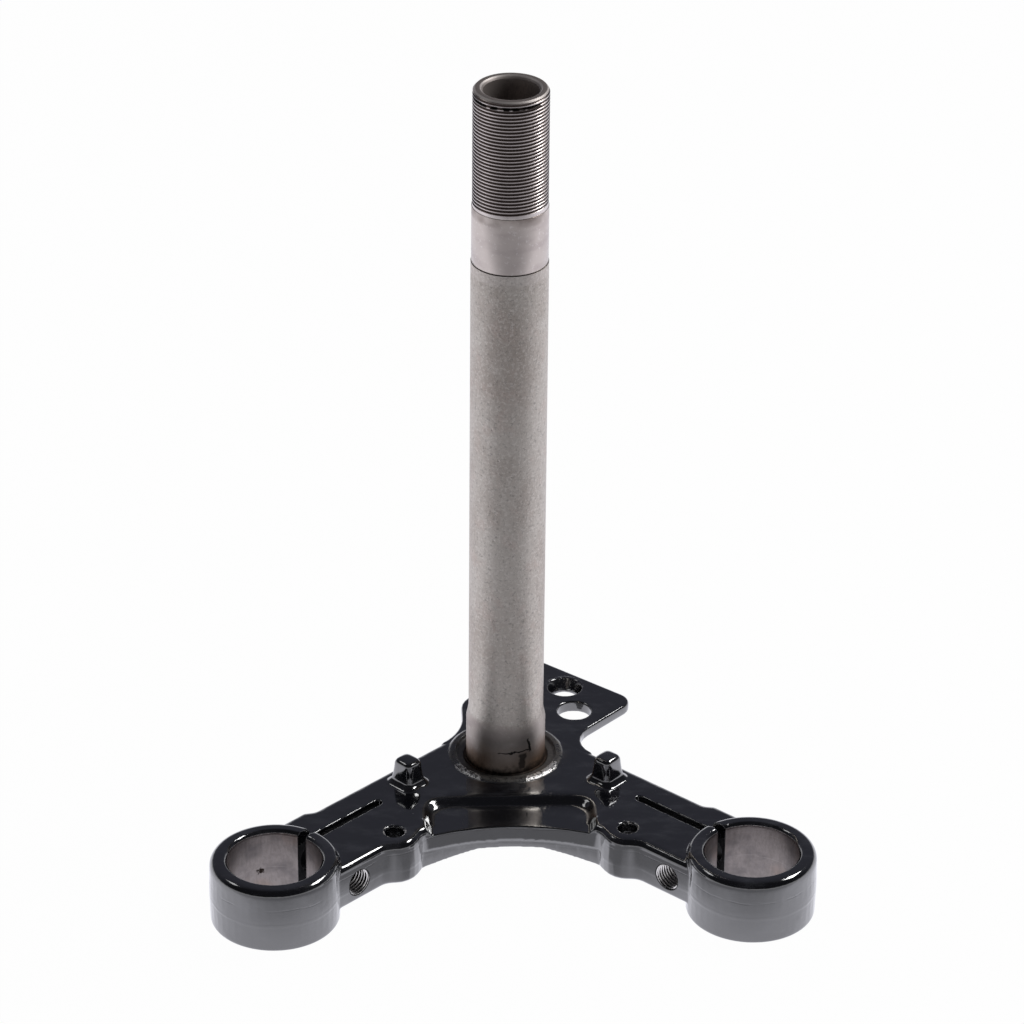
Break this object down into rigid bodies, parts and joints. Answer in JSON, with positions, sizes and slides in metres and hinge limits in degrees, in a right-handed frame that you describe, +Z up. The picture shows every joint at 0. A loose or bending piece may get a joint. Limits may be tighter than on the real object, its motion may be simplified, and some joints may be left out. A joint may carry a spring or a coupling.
{
  "type": "motorcycle triple clamp",
  "caption": "Lower fork yoke with a split clamp at the end of each arm, a pressed-in hollow steering stem with a threaded end, two stop lugs and a lock tab.",
  "frame": {"origin": "on the steering stem's axis, level with the lower faces of the two fork clamps", "axes": "+Z up along the stem to its threaded end, -Y ahead to the fork clamps and the wheel, +X to the side with the lock tab"},
  "size_m": [0.2118, 0.1584, 0.2823],
  "materials": {
    "yoke_enamel": "gloss black enamel over forged steel; fork bores and pinch threads left bare",
    "stem_steel": "raw seamless tube between turned and ground bearing seats"
  },
  "bodies": {
    "root": {"yoke": "yoke_enamel", "steering_stem": "stem_steel"}
  },
  "joints": []
}
